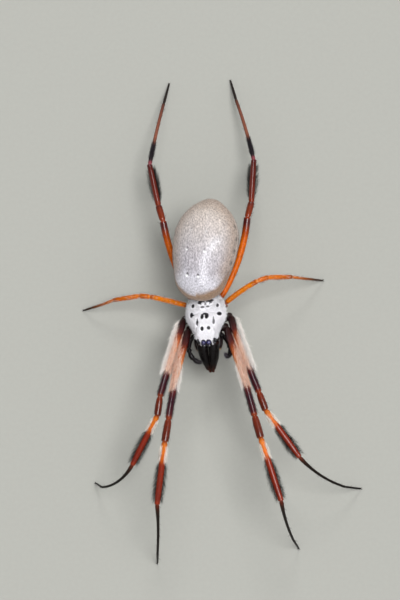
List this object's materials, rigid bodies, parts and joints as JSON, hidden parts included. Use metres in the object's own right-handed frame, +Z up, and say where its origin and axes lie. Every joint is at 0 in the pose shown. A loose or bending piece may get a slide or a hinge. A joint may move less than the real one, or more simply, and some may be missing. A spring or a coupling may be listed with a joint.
{
  "type": "orb weaver spider",
  "caption": "Still, life-size golden orb weaver spider standing on its feet: egg-shaped silvery abdomen, spotted white carapace, long banded legs with hair brushes.",
  "frame": {"origin": "the middle of the box round the whole spider, at the level of the floor under the feet", "axes": "+Z up, the head toward -Y, the tip of the abdomen toward +Y, the spider's own left toward +X"},
  "size_m": [0.0452, 0.0786, 0.0172],
  "materials": {
    "carapace": "dark chitin under a close coat of fine silvery white hair, with bare black spots",
    "eye": "wet-looking blue-black lens",
    "black_cuticle": "polished black chitin with sparse hair",
    "fang": "polished dark red chitin",
    "palp": "dark brown chitin with fine grey hair",
    "waist": "soft folded skin",
    "abdomen": "taut soft skin, silvery grey with fine beige mottling and a very short silver coat",
    "spinnerets": "brown, matt, with fine short hair",
    "coxa": "glossy black brown chitin",
    "femur_front": "orange brown chitin under cream white hair, dark maroon at the knee end",
    "femur_back": "glossy bright orange chitin",
    "leg_cuticle": "glossy red brown chitin, lighter orange where the pale tufts grow",
    "foot": "black brown chitin with short dark hair",
    "white_hair": "fine cream white hair with a silky shine",
    "black_hair": "stiff black hair and spines with a faint shine"
  },
  "bodies": {
    "root": {"carapace": "carapace", "upper_middle_eye_left": "eye", "upper_middle_eye_right": "eye", "lower_middle_eye_left": "eye", "lower_middle_eye_right": "eye", "upper_side_eye_left": "eye", "upper_side_eye_right": "eye", "lower_side_eye_left": "eye", "lower_side_eye_right": "eye", "sternum": "black_cuticle", "jaw_left": "black_cuticle", "fang_left": "fang", "palp_left": "palp", "jaw_right": "black_cuticle", "fang_right": "fang", "palp_right": "palp", "waist": "waist", "abdomen": "abdomen", "spinnerets": "spinnerets", "leg1_left_coxa": "coxa", "leg1_left_femur": "femur_front", "leg1_left_patella": "leg_cuticle", "leg1_left_tibia": "leg_cuticle", "leg1_left_foot": "foot", "leg1_right_coxa": "coxa", "leg1_right_femur": "femur_front", "leg1_right_patella": "leg_cuticle", "leg1_right_tibia": "leg_cuticle", "leg1_right_foot": "foot", "leg2_left_coxa": "coxa", "leg2_left_femur": "femur_front", "leg2_left_patella": "leg_cuticle", "leg2_left_tibia": "leg_cuticle", "leg2_left_foot": "foot", "leg2_right_coxa": "coxa", "leg2_right_femur": "femur_front", "leg2_right_patella": "leg_cuticle", "leg2_right_tibia": "leg_cuticle", "leg2_right_foot": "foot", "leg3_left_coxa": "coxa", "leg3_left_femur": "femur_back", "leg3_left_patella": "leg_cuticle", "leg3_left_tibia": "leg_cuticle", "leg3_left_foot": "foot", "leg3_right_coxa": "coxa", "leg3_right_femur": "femur_back", "leg3_right_patella": "leg_cuticle", "leg3_right_tibia": "leg_cuticle", "leg3_right_foot": "foot", "leg4_left_coxa": "coxa", "leg4_left_femur": "femur_back", "leg4_left_patella": "leg_cuticle", "leg4_left_tibia": "leg_cuticle", "leg4_left_foot": "foot", "leg4_right_coxa": "coxa", "leg4_right_femur": "femur_back", "leg4_right_patella": "leg_cuticle", "leg4_right_tibia": "leg_cuticle", "leg4_right_foot": "foot"}
  },
  "joints": []
}
